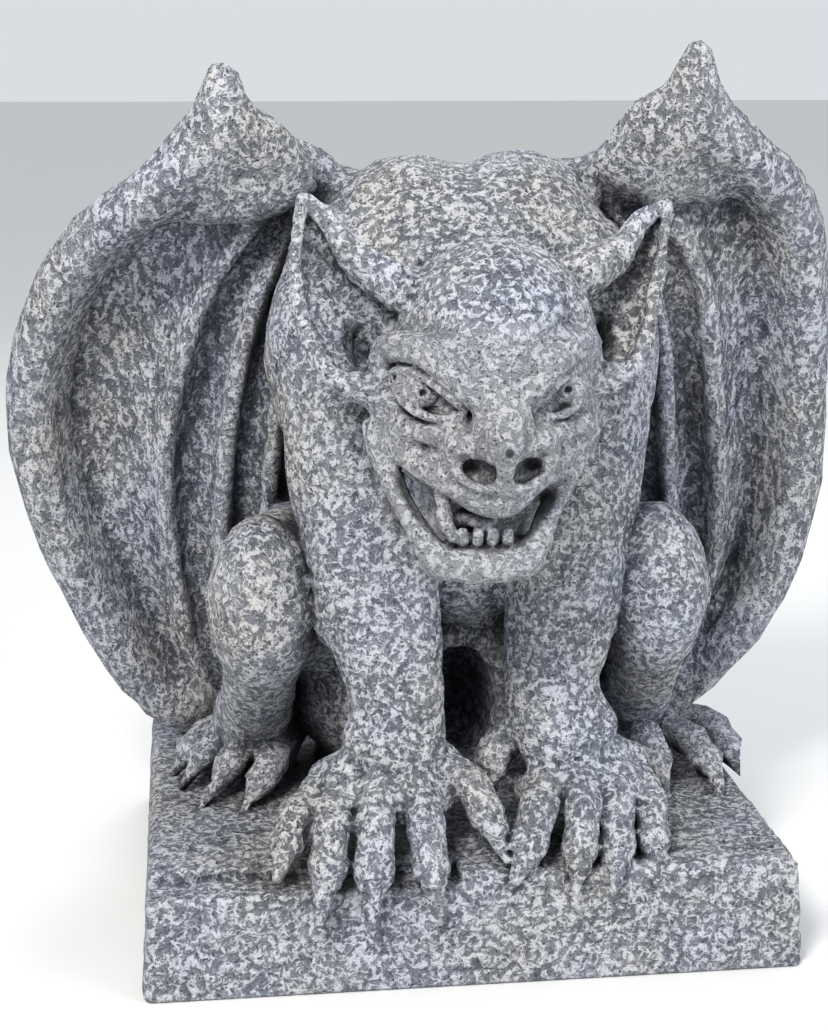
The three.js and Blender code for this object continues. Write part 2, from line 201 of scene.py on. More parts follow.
def sample(field, points, values=None):
    # Trilinear reading of the field at points in millimetres.
    values = field["values"] if values is None else values
    place = points / field["voxel"] - field["origin"]
    place = np.clip(place, 0, np.array(values.shape) - 1.001)
    base = place.astype(int)
    x, y, z = (place - base).T
    i, j, k = base.T
    read = lambda a, b, c: values[i + a, j + b, k + c]
    low = (read(0, 0, 0) * (1 - x) + read(1, 0, 0) * x) * (1 - y)
    low += (read(0, 1, 0) * (1 - x) + read(1, 1, 0) * x) * y
    high = (read(0, 0, 1) * (1 - x) + read(1, 0, 1) * x) * (1 - y)
    high += (read(0, 1, 1) * (1 - x) + read(1, 1, 1) * x) * y
    return low * (1 - z) + high * z


def skinOf(field):
    # The zero surface of the field as quads.
    grid = openvdb.FloatGrid()
    grid.background = band
    grid.transform = openvdb.createLinearTransform(voxelSize=field["voxel"])
    grid.copyFromArray(field["values"], ijk=tuple(int(v) for v in field["origin"]), tolerance=0.01)
    points, quads = grid.convertToQuads(0.0)
    return points.astype(float), quads.astype(np.int64)


# Plinth.

plinth = {"width": 300, "depth": 253, "height": 52.4, "draft": 3.3, "rounding": 5}
ledge = {"depth": 22, "drop": 5, "end": -8}


def plinthForms():
    # Rounded rectangles, drafted inwards towards the top, closed flat.
    halfWidth, halfDepth = plinth["width"] / 2, plinth["depth"] / 2
    top, rounding, draft = plinth["height"], plinth["rounding"], plinth["draft"]
    arc = np.linspace(0, math.pi / 2, 7)
    steps = 12
    rise = [0, 0.6, 2, *np.linspace(6, top - rounding, steps), *(top - rounding * (1 - np.sin(arc[1:])))]
    inset = [2, 0.6, 0, *np.linspace(0.3, draft, steps), *(draft + rounding * (1 - np.cos(arc[1:])))]
    corner = np.linspace(0, math.pi / 2, 6)
    rings = []
    for z, step in zip(rise, inset):
        ring = []
        for quarter, (sx, sy) in enumerate([(1, 1), (-1, 1), (-1, -1), (1, -1)]):
            angle = corner + quarter * math.pi / 2
            centre = np.array([sx * (halfWidth - rounding), sy * (halfDepth - rounding)])
            radius = rounding - step
            ring.append(centre + radius * np.stack([np.cos(angle), np.sin(angle)], -1))
        ring = np.vstack(ring)
        rings.append(np.column_stack([ring, np.full(len(ring), z)]))
    block = skin(np.array(rings), np.array([0, 0, 0.0]), np.array([0, 0, top]))
    # The ledge is a shallow step cut along the left part of the front edge.
    left, right = -halfWidth - 8, ledge["end"]
    front, back, low = -halfDepth - 8, -halfDepth + ledge["depth"], top - ledge["drop"]
    square = np.array([(right, back), (left, back), (left, front), (right, front)], float)
    box = np.array([np.column_stack([square, np.full(4, z)]) for z in (low, top + 12)])
    step = skin(box, (*square.mean(0), low), (*square.mean(0), top + 12))
    return [(block, 1), (step, 2, True)]


print("forms ready")

# Body.

middle = 6  # the body sits this far right of the plinth's middle


def bodyForms():
    # Hunched back with two shoulder blades beside the spine, chest, haunches and nape.
    nape = [(middle, 20, 285, 50, 44), (middle, -35, 288, 46, 40), (middle, -85, 275, 34, 36)]
    spine = [
        (9, -64, 344), (10, -30, 360), (10, 5, 365), (9, 40, 356), (8, 68, 328), (7, 87, 270),
        (7, 99, 190),
    ]
    return [
        (egg((middle + 2, -5, 266), (89, 65, 90)), 8),
        (egg((-18, 8, 330), (34, 40, 30)), 14),
        (egg((36, 8, 332), (34, 40, 30)), 14),
        (egg((middle, 25, 190), (71, 53, 91)), 16),
        (egg((middle + 2, -36, 218), (46, 33, 74)), 12),
        (egg((-53, -16, 268), (33, 33, 46), (0, 8, 0)), 8),
        (egg((66, -16, 268), (33, 33, 46), (0, -8, 0)), 8),
        (egg((middle, 32, 105), (85, 71, 71)), 16),
        (limb(nape), 14),
        (limb([(*point, 6, 6) for point in spine]), 10, True),
        (egg((4, -36, 100), (18, 44, 30)), 8, True),
    ]


arms = {
    -1: {
        "path": [
            (-48, -12, 310, 28, 28), (-54, -26, 280, 31, 32), (-50, -38, 245, 31, 31),
            (-45, -47, 214, 30, 29), (-41, -58, 180, 29.5, 27), (-35, -70, 145, 25, 22),
            (-32, -77, 118, 22, 18), (-34, -83, 100, 24, 16),
        ],
        "muscles": [
            ((-60, -44, 220), (17, 20, 34), (0, 6, 0)),
            ((-52, -62, 176), (14, 16, 36), (0, 14, 0)),
            ((-27, -68, 172), (13, 14, 34), (0, 8, 0)),
        ],
        "palm": (-38, -90, 78),
        "wrist": (-34, -74, 100),
        "digits": [
            [(-64, -79, 84), (-79, -99, 74), (-86.5, -113, 63), (-90, -121, 53)],
            [(-56, -85, 88), (-65, -109, 73), (-68.5, -127, 54), (-73, -136, 38)],
            [(-41, -87, 89), (-45, -111, 74), (-48, -129, 51), (-51, -138, 36)],
            [(-24, -85, 89), (-23, -110, 74), (-21.5, -128, 52), (-20, -134, 38)],
            [(-13, -80, 91), (0, -95, 84), (8, -111, 69), (13, -120, 56)],
        ],
    },
    1: {
        "path": [
            (58, -12, 310, 28, 28), (66, -26, 280, 30, 32), (62, -38, 245, 30, 31),
            (56, -46, 214, 29, 29), (50, -56, 180, 27.5, 26), (44, -66, 145, 25, 22),
            (42, -73, 118, 22, 18), (48, -79, 100, 24, 16),
        ],
        "muscles": [
            ((70, -42, 218), (16, 20, 34), (0, -8, 0)),
            ((60, -57, 176), (14, 16, 36), (0, -14, 0)),
            ((37, -63, 172), (13, 14, 32), (0, -8, 0)),
        ],
        "palm": (55, -86, 77),
        "wrist": (47, -71, 100),
        "digits": [
            [(38, -79, 90), (30, -104, 76), (21, -120, 58), (13, -128, 47)],
            [(53, -82, 90), (50, -106, 76), (45, -122, 55), (42, -130, 44)],
            [(68, -78, 88), (66.5, -101, 74), (63, -119, 55), (60, -129, 44)],
            [(79, -72, 84), (83.5, -94, 71), (82, -112, 55), (80, -125, 44)],
            [(24, -68, 98), (15, -73, 91), (10, -79, 82), (8, -85, 73)],
        ],
    },
}
fingerHalf = 8.6


def digitForms(points, half):
    # Flesh that swells at the joint and again at the tip, a collar, and a blunt claw from it.
    knuckle, joint, root, tip = (np.asarray(p, float) for p in points)
    mid = lambda a, b, t: tuple(a + t * (b - a))
    flesh = [
        (*knuckle, half * 0.98, half * 0.9),
        (*mid(knuckle, joint, 0.5), half * 0.94, half * 0.88),
        (*joint, half * 1.06, half * 1.02),
        (*mid(joint, root, 0.45), half * 0.95, half * 0.92),
        (*mid(joint, root, 0.82), half * 1.02, half * 0.95),
        (*mid(joint, root, 0.98), half * 0.76, half * 0.74),
    ]
    claw = [
        (*mid(joint, root, 0.75), half * 0.5, half * 0.5),
        (*mid(root, tip, 0.15), half * 0.52, half * 0.54),
        (*mid(root, tip, 0.6), half * 0.4, half * 0.44),
        (*mid(root, tip, 0.95), half * 0.2, half * 0.22),
    ]
    return [(limb(flesh, around=20), 3.2), (limb(claw, around=16), 0.8)]


def armForms(side):
    # Arm and its muscles, tendons that fan from the wrist to the knuckles, then the digits.
    arm = arms[side]
    forms = [(limb(arm["path"]), 8)]
    forms += [(egg(*muscle), 7) for muscle in arm["muscles"]]
    forms += [(egg(arm["palm"], (33, 17, 14)), 6)]
    for points in arm["digits"]:
        knuckle = points[0]
        tendon = [(*arm["wrist"], 8.5), (*knuckle, fingerHalf * 0.98, fingerHalf * 0.9)]
        forms.append((limb(tendon), 4))
        forms += digitForms(points, fingerHalf)
    return forms


legs = {
    -1: {
        "knee": (-91, -46, 159),
        "digits": [
            [(-80, 8, 74), (-87, -14, 69), (-95, -28, 61), (-102, -38, 53)],
            [(-88, 18, 75), (-100, -3, 73), (-111, -18, 64), (-122, -30, 54)],
            [(-96, 26, 74), (-112, 11, 71), (-122, -1, 66), (-131, -9, 54)],
            [(-104, 34, 73), (-119, 24, 70), (-128, 13, 65), (-135, 6, 56)],
        ],
    },
    1: {
        "knee": (94, -46, 161),
        "digits": [
            [(92, 6, 74), (101, -15, 73), (105, -30, 63), (106, -42, 53)],
            [(108, 16, 76), (126, -10, 69), (131, -30, 62), (132, -46, 53)],
            [(120, 28, 75), (143, 8, 69), (147, -8, 61), (149, -19, 53)],
        ],
    },
}
toeHalf = 8.2


def legForms(side):
    # Thigh forward to a round knee, shin back under it, foot flat on the plinth.
    x, y, z = legs[side]["knee"]
    thigh = [
        (side * 58 + middle, 50, 130, 44, 46),
        (side * 76 + middle, 5, 152, 34, 43),
        (x, y + 6, z, 22, 35),
    ]
    shin = [
        (x, y - 4, z - 20, 17, 18),
        (x + side * 2, y + 24, z - 50, 18, 17),
        (x + side * 4, y + 58, z - 76, 20, 18),
    ]
    forms = [
        (limb(thigh), 12),
        (egg((x, y, z), (26, 31, 41), (0, 0, side * 6)), 3),
        (limb(shin), 5),
        (egg((x + side * 4, 22, 67), (25, 26, 21), (0, 0, side * 30)), 7),
    ]
    return forms + [form for points in legs[side]["digits"] for form in digitForms(points, toeHalf)]


# Wings.

wings = {
    -1: {
        "horn": (-104, -24, 401),
        "top": [(-38, 32, 334), (-54, 22, 361), (-78, 4, 371), (-107, -16, 381)],
        "outer": [
            (-107, -16, 381), (-136, -14, 358), (-169, 2, 335), (-194, 18, 301), (-210, 34, 250),
            (-207, 44, 195), (-186, 50, 139), (-150, 58, 76), (-124, 62, 58),
        ],
        "inner": [(-38, 32, 334), (-60, 20, 270), (-66, 24, 190), (-74, 44, 110), (-84, 66, 58)],
        "ribs": [0.47, 0.68, 0.86],
    },
    1: {
        "horn": (114, -24, 410),
        "top": [(46, 34, 340), (60, 24, 354), (82, 4, 366), (114, -16, 388)],
        "outer": [
            (114, -16, 388), (150, -14, 368), (178, 2, 340), (193, 18, 292), (202, 34, 236),
            (203, 44, 180), (185, 50, 119), (151, 58, 73), (130, 62, 58),
        ],
        "inner": [(46, 34, 340), (70, 20, 270), (76, 24, 190), (84, 44, 110), (94, 66, 58)],
        "ribs": [0.4, 0.62, 0.82],
    },
}
wing = {"thickness": 12, "rimHalf": 12.5, "sag": 18, "ribDrift": 0.22, "ribHalf": 3.6}


def evenCurve(points, count):
    # The Catmull-Rom path again, read at even distances.
    path = catmull(points, 400)
    walked = np.concatenate([[0], np.cumsum(np.linalg.norm(np.diff(path, axis=0), axis=1))])
    at = np.linspace(0, walked[-1], count)
    return np.stack([np.interp(at, walked, axis) for axis in path.T], -1)


def wingForms(side):
    # Coons patch between the outer, inner and top edges; v runs down, u from the outer edge in.
    # Between neighbouring ribs the membrane sags back by a half sine.
    data = wings[side]
    hub = np.array([side * 115, 20, 230.0])

    def inset(points):
        points = np.asarray(points, float)
        inward = (hub - points) * (1, 0, 1)
        return points + wing["rimHalf"] * unit(inward)

    rows, columns = 90, 96
    top = inset(data["top"])
    outer = inset(data["outer"])
    inner = np.asarray(data["inner"], float)
    inner[0] = top[0]
    outerEdge, innerEdge = evenCurve(outer, rows)[:, None], evenCurve(inner, rows)[:, None]
    v = np.linspace(0, 1, rows)[:, None, None]
    bounds = [0, *data["ribs"], 1]

    def ribAt(k):
        moves = wing["ribDrift"] * (0.45 - v[:, 0, 0]) * (1 - bounds[k])
        return bounds[k] + (moves if 0 < k < len(bounds) - 1 else 0 * moves)

    walls = np.stack([ribAt(k) for k in range(len(bounds))], 1)
    panel, share = np.divmod(np.linspace(0, len(bounds) - 1, columns), 1)
    panel[-1], share[-1] = len(bounds) - 2, 1
    panel = panel.astype(int)
    low, high = walls[:, panel], walls[:, panel + 1]
    u = (low + share * (high - low))[..., None]
    topAt = evenCurve(top, 200)
    topEdge = topAt[np.clip(((1 - u[..., 0]) * 199).round().astype(int), 0, 199)]
    foot = outerEdge[-1] * (1 - u) + innerEdge[-1] * u
    corners = (1 - v) * ((1 - u) * outerEdge[0] + u * innerEdge[0]) + v * foot
    patch = (1 - u) * outerEdge + u * innerEdge + (1 - v) * topEdge + v * foot - corners
    length = np.sin(math.pi * (0.06 + 0.88 * v[..., 0])) ** 0.5
    dip = wing["sag"] * np.sqrt((high - low) / bounds[1]) * length * np.sin(math.pi * share) - 3
    front, back = patch.copy(), patch.copy()
    front[..., 1] += dip
    back[..., 1] += dip * 0.5 + wing["thickness"]
    rings = np.concatenate([front, back[:, ::-1]], axis=1)
    sheet = skin(rings, rings[0].mean(0), rings[-1].mean(0))
    shoulder = np.array([[middle + side * 22, 12, 306.0]])
    rim = np.vstack([shoulder, top[:-1], outer])
    half = wing["rimHalf"]
    forms = [
        (sheet, 6),
        (limb([(*p, half * 1.05, half) for p in rim], across=(0, 1, 0)), 16),
    ]
    # Each rib is a slim rounded ridge along its wall of the patch.
    for k in range(1, len(bounds) - 1):
        column = int(round(k * (columns - 1) / (len(bounds) - 1)))
        line = front[6:-14:8, column]
        swell = np.sin(np.linspace(0.25, 0.8, len(line)) * math.pi)
        ridge = [(*p, wing["ribHalf"] * s, wing["ribHalf"] * s) for p, s in zip(line, swell)]
        forms.append((limb(ridge, around=12), 7))
    x, y, z = data["horn"]
    horn = [
        (x - side * 8, -4, z - 58, 36, 13),
        (x - side * 4, -12, z - 36, 28, 14),
        (x - side * 1, -19, z - 23, 16, 13),
        (x, y, z - 10, 9.5, 10),
        (x, y, z - 6, 8, 8),
    ]
    return forms + [(limb(horn), 10)]


# Head.

faceMiddle = 2
ears = {
    -1: [
        (-73, -92, 347), (-77, -98, 320), (-74, -104, 296), (-67, -110, 281), (-56, -114, 270),
        (-38, -112, 262), (-30, -100, 290), (-32, -100, 316), (-52, -94, 330),
    ],
    1: [
        (84, -90, 343), (80, -97, 318), (75, -103, 298), (71, -108, 283), (60, -113, 273),
        (42, -110, 264), (38, -100, 290), (42, -100, 320), (62, -94, 330),
    ],
}
earBowl = {"hollow": 9, "thickness": 11, "hole": (8.5, 11.5, 11)}


def earForms(side):
    # A thick dish that opens forwards: loops shrink from the outline to its middle and sink
    # back. A fleshy flap runs from tip to root along the top, thin rolls edge the dish, and a
    # deep hole lies beside the head.
    outline = np.asarray(ears[side], float)
    closed = np.vstack([outline[-2:], outline, outline[:3]])
    path = catmull(closed, 60 * (len(closed) - 1) + 1)[120:-120]
    edge = path[np.linspace(0, len(path) - 1, 81).round().astype(int)[:-1]]
    centre = np.array([side * 50 + 4, -98, 296.0])

    def loops(shares, lift):
        shares = np.asarray(shares, float)[:, None, None]
        made = centre + shares * (edge - centre)
        made[..., 1] += lift + earBowl["hollow"] * np.sqrt(1 - shares[..., 0] ** 2.6)
        return made

    front = loops(np.linspace(0.06, 0.985, 16), -1.5)
    back = loops(np.linspace(0.985, 0.06, 16), earBowl["thickness"] - 1.5)
    poles = [
        centre + (0, earBowl["hollow"] + lift, 0) for lift in (-1.5, earBowl["thickness"] - 1.5)
    ]
    tip, top, inner, lobe = outline[0], outline[-1], outline[-2], outline[5]
    toward = lambda t: tuple(tip + t * (top - tip))
    flap = [
        (*toward(0.02), 2.6, 2.6),
        (*toward(0.55), 5.5, 4.5),
        (*(top + (0, -3, -7)), 9, 6.5),
        (*(inner + (0, -4, -6)), 10, 7.5),
        (*(inner + (-side * 9, 6, -8)), 10, 9),
    ]
    rim = [(*p, r) for p, r in zip(outline[:6] + (0, -1.5, 0), (2, 3, 3.6, 4, 4.8, 4.8))]
    lobeRoll = [
        (*(outline[4] + (-side * 4, -2, 2)), 6.5, 5),
        (*(lobe + (0, -3, 3)), 7.5, 6.5),
        (*(lobe + (-side * 10, -2, 2)), 8, 7),
    ]
    hole = lobe + (side * 9, 12, 25)
    across = {"across": (0, 1, 0), "around": 16}
    return [
        (skin(np.vstack([front, back]), *poles), 4),
        (limb(flap, across=(side * 0.6, 0, 1)), 3),
        (limb(rim, **across), 3),
        (limb(lobeRoll, **across), 4),
        (egg(hole, earBowl["hole"], (0, side * 20, 0)), 4, True),
    ]


def both(make):
    return [form for side in (-1, 1) for form in make(side)]


def skullForms():
    return [
        (egg((8, -104, 287), (42.5, 45.5, 44)), 6),
        (egg((faceMiddle, -102, 273), (43.5, 39, 25)), 8),
        (egg((faceMiddle + 1, -108, 254), (47, 38, 32)), 10),
        (egg((faceMiddle, -126, 240), (31, 25, 20)), 8),
        (egg((faceMiddle, -98, 220), (33, 36, 27)), 8),
        (egg((faceMiddle - 1, -122, 204), (21, 21, 9)), 4),
    ]


def faceRoll(stations, side, around=14):
    # A roll of flesh on one half of the face, by its distance from the face's middle.
    return limb(mirrored(stations, side, faceMiddle), across=(0, 0, 1), around=around)


def browForms(side):
    # A heavy roll rises from the cheekbone, bends over the eye and slants down to the nose;
    # the eye's socket is cut under it.
    roll = [
        (43, -110, 284, 5.5, 5.5), (41, -119.5, 287.5, 6.4, 6.4),
        (37.5, -128, 289, 7, 7), (31, -136.5, 289, 7, 7), (24.5, -142.5, 285.5, 6.8, 7),
        (18, -147.5, 279.5, 6.4, 6.6), (12, -150.5, 273.5, 5.8, 6), (8, -151, 269, 5, 5),
    ]
    crease = [
        (33, -135, 301, 1.6), (27, -141, 298, 1.6), (21, -147, 293, 1.6), (15, -152, 286, 1.6),
        (11, -155, 279, 1.4),
    ]
    furrow = [(3.4, -151, 291, 1.4), (2.8, -154.5, 284, 1.5), (2.4, -157, 276, 1.4)]
    return [
        (egg((faceMiddle + side * 28, -152, 271), (14, 13.5, 9.5), (0, side * 26, 0)), 3.5, True),
        (egg((faceMiddle + side * 43, -113, 277), (6.5, 9, 12)), 6),
        (faceRoll(roll, side), 4.5),
        (faceRoll(crease, side), 6, True),
        (faceRoll(furrow, side), 4, True),
    ]


def eyeForms(side):
    # Eyeball, a sunken ring for the iris round a pupil pit, and lids as rolls over it, with a
    # fold above and a bag below.
    x = faceMiddle + side * 30
    ball = egg((x, -131, 272.3), (11, 11.4, 9.6))
    around = np.linspace(0, 2 * math.pi, 25)
    ring = [(x + 4.4 * math.cos(a), -141.6, 272 + 4.4 * math.sin(a), 1.3) for a in around]
    upper = [
        (40.5, -124, 277.5, 1.8, 2.6), (38, -131.5, 280.3, 2, 2.8), (32, -139, 279.8, 2.1, 2.9),
        (25, -144, 275.5, 2, 2.7), (18.5, -147.5, 269.8, 1.8, 2.4), (13.5, -148, 265, 1.6, 2),
    ]
    lower = [
        (40.5, -124, 276.5, 1.8, 2.4), (39, -131, 270.5, 1.9, 2.5), (34, -137.8, 265, 2, 2.6),
        (27, -142.5, 262, 2, 2.6), (20, -145.5, 261.8, 1.8, 2.2), (14, -147, 263.8, 1.5, 1.8),
    ]
    bag = [(41, -123, 267, 2, 2.4), (36.5, -131, 259.5, 2.4, 2.8), (28, -138.5, 256, 2.4, 2.8)]
    return [
        (ball, 0.6),
        (limb(ring, across=(0, 1, 0), around=10), 0.4, True),
        (egg((x, -143, 272), (2, 4, 2)), 0.4, True),
        (faceRoll(upper, side), 0.7),
        (faceRoll(lower, side), 0.8),
        (faceRoll(bag, side), 2.5),
    ]


def noseForms():
    # Broad snub nose: bridge, bulb, flaring wings whose rims arch over slanted nostrils.
    x = faceMiddle + 1
    bridge = [(x - 2, -144, 277, 7.5, 8), (x - 1, -151, 269, 9, 9), (x, -154, 261, 12, 11)]
    forms = [(limb(bridge), 4), (egg((x, -155, 256), (12.5, 12, 12.5)), 4)]
    for side in (-1, 1):
        flare = egg((x + side * 15.5, -149.5, 250), (8.5, 9.5, 10), (0, side * 14, 0))
        rim = [
            (x + side * 22.5, -148, 248, 2.8), (x + side * 18, -154.5, 241, 2.6),
            (x + side * 10, -158, 236, 2.3), (x + side * 3, -158, 235, 2.2),
        ]
        furrow = [
            (x + side * 10.5, -164, 265, 2), (x + side * 10.5, -162.5, 257, 2.3),
            (x + side * 9.5, -162.5, 250, 1.8),
        ]
        forms += [
            (flare, 3),
            (limb(rim, across=(0, 0, 1), around=12), 2.5),
            (limb(furrow, around=12), 3, True),
        ]
    septum = [(x, -166, 252, 4.6, 4.4), (x, -161.5, 243, 3.6, 4), (x, -156, 236, 3, 4)]
    forms.append((limb(septum, around=14), 3))
    for side in (-1, 1):
        hole = [
            (x + side * 16, -158.5, 247, 2.8, 3.4), (x + side * 12.5, -158.5, 242.5, 3.3, 3.8),
            (x + side * 8, -157.5, 239.5, 2.3, 3.2),
        ]
        forms += [
            (limb(hole, around=14), 1.4, True),
            (egg((x + side * 12, -154, 243.5), (4.4, 7, 3.4)), 2, True),
        ]
    return forms


def cheekForms(side):
    # Soft bumps under the eye, and the crease that runs from the nostril to the cheek.
    crease = [
        (23, -149.5, 243, 2), (28, -144.5, 248, 2.8), (35, -137, 249.5, 2.8), (42, -126, 246, 2),
    ]
    bumps = [
        ((16, -141, 260), (8, 9, 6.5), 4), ((25.5, -138.5, 254), (8.5, 9, 6.5), 2.5),
        ((36, -129, 255), (8.5, 9, 7.5), 2.5), ((41.5, -115, 252), (8, 11, 14), 5),
    ]
    forms = [
        (egg((faceMiddle + side * x, y, z), radii), blend) for (x, y, z), radii, blend in bumps
    ]
    return [*forms, (faceRoll(crease, side, 12), 3, True)]


def mouthForms():
    # A snarl: the upper lip drops to the middle over a slack jaw whose thick band runs up to
    # both corners; between them lie the gape, lower teeth, a strand of gum and the tongue.
    lip = [
        (-43, -121, 248, 5, 5), (-34, -131, 246.5, 6.8, 6.4), (-25, -139, 242, 8, 7.6),
        (-14, -144.5, 237, 8.6, 8.6), (-3, -147.5, 230.5, 9, 8.6), (5, -148, 230, 9, 8.6),
        (14, -145, 235.5, 8, 7.6), (24, -139.5, 241, 6.8, 6.4), (35, -130, 247.5, 5.8, 5.8),
        (43, -120, 252, 4.8, 4.8),
    ]
    band = [
        (-45, -110, 252, 5, 5), (-43, -120, 243, 5, 5), (-38, -130, 231, 5, 5.5),
        (-31, -136, 217, 5, 6), (-25, -139.5, 206, 6, 6.8), (-18, -142, 200.5, 7, 7.2),
        (-8, -143.5, 199.5, 7.6, 7.2), (5, -143.5, 199.5, 7.6, 7.2), (14.5, -142, 201, 7, 7.2),
        (20.5, -140, 208, 5.4, 6.6), (25, -138, 219.5, 4.4, 6), (32, -133, 231, 4.6, 5.5),
        (41.5, -121, 244, 5, 5), (46, -110, 252, 5, 5),
    ]
    gape = [
        (-35, -141, 234.5, 5, 12), (-23, -143, 223.5, 9, 13), (-4, -147, 215.5, 9, 14),
        (10, -146, 216, 8, 14), (24.5, -141, 228, 4, 11),
    ]
    corners = [(-20, -137, 200), (16.5, -137, 200.5)]
    teeth = [
        [(x, -141.5, 209, 2.7, 2.3), (x, -142.6, 212.5, 2.7, 2.2), (x, -143.2, 214.2, 2.3, 1.8)]
        for x in (-11.5, -5.2, 1.1, 7.4)
    ]
    gum = [
        (-21, -137, 235, 3.6, 3), (-19.5, -141, 226, 3.2, 3), (-18.6, -141, 217, 3.6, 3.2),
        (-15, -140, 211, 3.2, 3),
    ]
    tongue = [(-12, -127, 215, 6, 4), (-6, -135, 218, 6.5, 4), (0, -138, 217, 6, 3.5)]
    across = {"across": (0, 0, 1)}
    return [
        (limb(band, **across), 3.5),
        *[(egg(corner, (7.5, 8, 8)), 3) for corner in corners],
        (limb(gape, **across), 2, True),
        (limb(lip, **across), 4),
        (limb(gum, around=14), 1.4),
        (limb(tongue, around=14), 1.5),
        *[(limb(tooth, around=16), 0.6) for tooth in teeth],
    ]


def headForms():
    return [
        *skullForms(), *both(cheekForms), *both(browForms), *both(eyeForms), *mouthForms(),
        *noseForms(), *both(earForms),
    ]


allForms = [
    *plinthForms(), *bodyForms(), *both(armForms), *both(legForms), *both(wingForms), *headForms(),
]
print("forms:", len(allForms))

# Build.


def latticeNoise(points, size, seed):
    # Random values on a cubic lattice `size` mm apart, blended smoothly between the corners.
    table = np.random.default_rng(seed).uniform(-1, 1, (32, 32, 32)).astype(np.float32)
    cell = points / np.asarray(size, np.float32) + 400
    base = np.floor(cell).astype(np.int32)
    x, y, z = (cell - base).T.astype(np.float32)
    x, y, z = (t * t * (3 - 2 * t) for t in (x, y, z))
    i, j, k = (base % 32).T
    i1, j1, k1 = (i + 1) % 32, (j + 1) % 32, (k + 1) % 32
    low = (table[i, j, k] * (1 - x) + table[i1, j, k] * x) * (1 - y)
    low += (table[i, j1, k] * (1 - x) + table[i1, j1, k] * x) * y
    high = (table[i, j, k1] * (1 - x) + table[i1, j, k1] * x) * (1 - y)
    high += (table[i, j1, k1] * (1 - x) + table[i1, j1, k1] * x) * y
    return low * (1 - z) + high * z


def soft(value, low, high):
    # 0 below `low`, 1 above `high`, an S curve between.
    t = np.clip((value - low) / (high - low), 0, 1)
    return t * t * (3 - 2 * t)


def faceShare(points):
    # 1 on the face, fading to 0 over a few millimetres behind the cheeks and above the brow.
    x, y, z = points.T
    across = 1 - soft(np.abs(x - faceMiddle), 44, 54)
    return soft(-y, 108, 126) * across * soft(z, 188, 196) * (1 - soft(z, 292, 306))


def wingShare(points):
    # 0 on the body and plinth, 1 on the wings.
    return soft(np.abs(points[:, 0] - middle), 100, 125) * soft(points[:, 2], 60, 80)


def roughen(field):
    # Cast-stone relief: lumps, then ridged noise (1 - |noise|) for pits between sharp crests;
    # on the wings the pattern is stretched downwards, on the plinth sideways, and it is faint
    # on the face.
    values, voxel, origin = field["values"], field["voxel"], field["origin"]
    near = np.argwhere(np.abs(values) < 4)
    points = ((near + origin) * voxel).astype(np.float32)
    z = points[:, 2]
    plinthShare = 1 - soft(z, 44, 54)
    face = faceShare(points)
    stretch = np.stack([1 + 1.2 * plinthShare, 1 + 0.6 * plinthShare, 1 + 1.2 * wingShare(points)], -1)
    moved = points / stretch
    moved = moved + 2.2 * np.stack([latticeNoise(moved, 9, seed) for seed in (1, 2, 3)], -1)
    lumps = latticeNoise(points, 21, 4)
    crests = 1 - np.abs(latticeNoise(moved, 8.3, 5)) * 2.4
    grains = 1 - np.abs(latticeNoise(moved, 4.6, 6)) * 2.4
    calm = (1 - 0.8 * face) * soft(z, 1, 5)
    relief = calm * (0.55 * (1 - 0.6 * plinthShare) * lumps + 0.4 * crests + 0.55 * grains - 0.25)
    values[tuple(near.T)] -= relief


def boxBlur(values, half):
    # Mean over a box of 2 half + 1 voxels, one axis after the other, from running sums.
    for axis in range(3):
        width = 2 * half + 1
        pad = [(0, 0)] * 3
        pad[axis] = (half + 1, half)
        total = np.cumsum(np.pad(values, pad, mode="edge"), axis=axis, dtype=np.float32)
        upper = np.take(total, range(width, total.shape[axis]), axis=axis)
        lower = np.take(total, range(0, total.shape[axis] - width), axis=axis)
        values = (upper - lower) / width
    return values


voxel = 1.15
field = makeField((-216, -170, -3), (210, 131, 418), voxel)
for form in allForms:
    meltIn(field, *form)
print("field", field["values"].shape)
roughen(field)
points, quads = skinOf(field)
print("skin", len(points), len(quads))


def meshOf(name, points, faces):
    # Mesh from points in millimetres and equal-sided faces, shaded smooth.
    made = bpy.data.meshes.new(name)
    made.vertices.add(len(points))
    made.vertices.foreach_set("co", (points * mm).astype(np.float32).ravel())
    made.loops.add(faces.size)
    made.loops.foreach_set("vertex_index", faces.astype(np.int32).ravel())
    made.polygons.add(len(faces))
    sides = faces.shape[1]
    made.polygons.foreach_set("loop_start", np.arange(0, faces.size, sides, dtype=np.int32))
    made.polygons.foreach_set("loop_total", np.full(len(faces), sides, np.int32))
    made.update(calc_edges=True)
    made.polygons.foreach_set("use_smooth", np.ones(len(faces), bool))
    return made


def thin(piece, weights, most):
    # Collapses edges to `most` triangles, later where `weights` is low, and keeps the result.
    group = piece.vertex_groups.new(name="thin")
    for level in np.unique(weights):
        group.add(np.flatnonzero(weights == level).tolist(), float(level), "REPLACE")
    step = piece.modifiers.new("thin", "DECIMATE")
    step.vertex_group = "thin"
    step.vertex_group_factor = 1
    step.ratio = most / (2 * len(piece.data.polygons))
    seen = bpy.context.evaluated_depsgraph_get()
    thinned = bpy.data.meshes.new_from_object(piece.evaluated_get(seen))
    piece.modifiers.remove(step)
    piece.vertex_groups.clear()
    piece.data = thinned


gargoyle = bpy.data.objects.new("gargoyle_skin", meshOf("gargoyle_skin", points, quads))
bpy.context.scene.collection.objects.link(gargoyle)
face = faceShare(points)
weights = np.round(1 - 0.75 * face - 0.35 * soft(-points[:, 1], 60, 100) * (1 - face), 1)
thin(gargoyle, weights, 198000)
print("triangles", len(gargoyle.data.polygons))

# Recess attributes.


